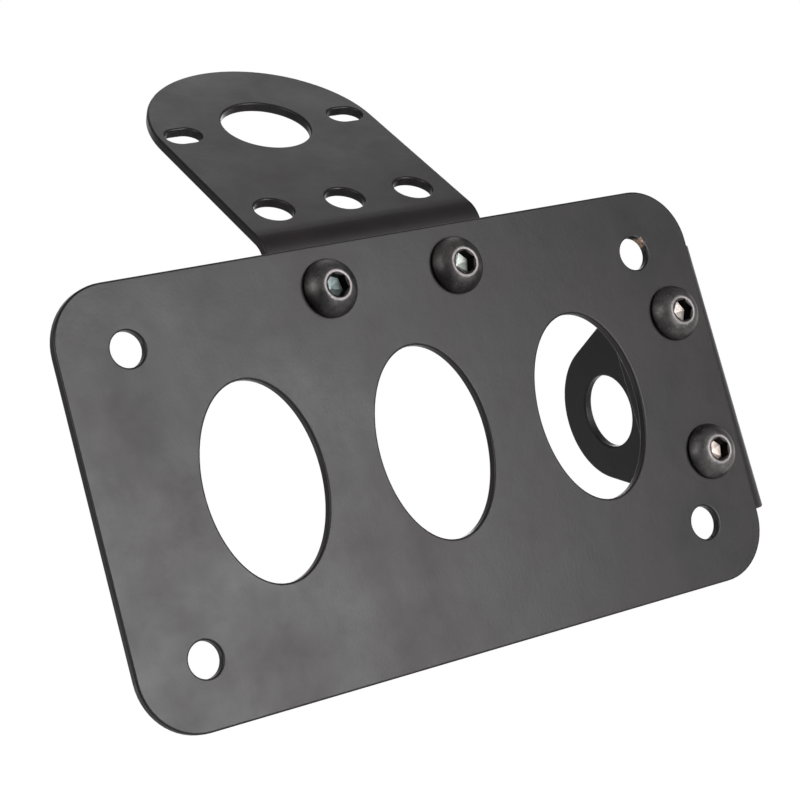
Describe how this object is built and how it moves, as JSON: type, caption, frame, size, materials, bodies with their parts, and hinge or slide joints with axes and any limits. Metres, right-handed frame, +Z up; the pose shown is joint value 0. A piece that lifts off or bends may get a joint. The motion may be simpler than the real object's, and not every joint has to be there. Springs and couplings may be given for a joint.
{
  "type": "tail tidy",
  "caption": "Side-mounted number plate holder for a motorbike: flat panel with tall ovals, a leaning tail light bracket and a folded side bracket that goes over the wheel axle.",
  "frame": {"origin": "centre of the panel's front face, which is the centre of its four corner holes", "axes": "+X right along the panel as the plate is read, +Y away from the reader, +Z up"},
  "size_m": [0.1864, 0.0799, 0.1592],
  "materials": {
    "coated_sheet": "satin black powder coat with a fine grain",
    "blackened_screw": "blackened steel, worn bright around the socket",
    "plated_steel": "bright zinc plating",
    "nylon": "natural nylon"
  },
  "bodies": {
    "root": {"number_plate_panel": "coated_sheet", "tail_light_bracket": "coated_sheet", "axle_side_bracket": "coated_sheet", "screw_top_left": "blackened_screw", "washer_top_left": "plated_steel", "lock_nut_top_left": "plated_steel", "nylon_ring_top_left": "nylon", "screw_top_right": "blackened_screw", "washer_top_right": "plated_steel", "lock_nut_top_right": "plated_steel", "nylon_ring_top_right": "nylon", "screw_side_upper": "blackened_screw", "washer_side_upper": "plated_steel", "lock_nut_side_upper": "plated_steel", "nylon_ring_side_upper": "nylon", "screw_side_lower": "blackened_screw", "washer_side_lower": "plated_steel", "lock_nut_side_lower": "plated_steel", "nylon_ring_side_lower": "nylon"}
  },
  "joints": []
}
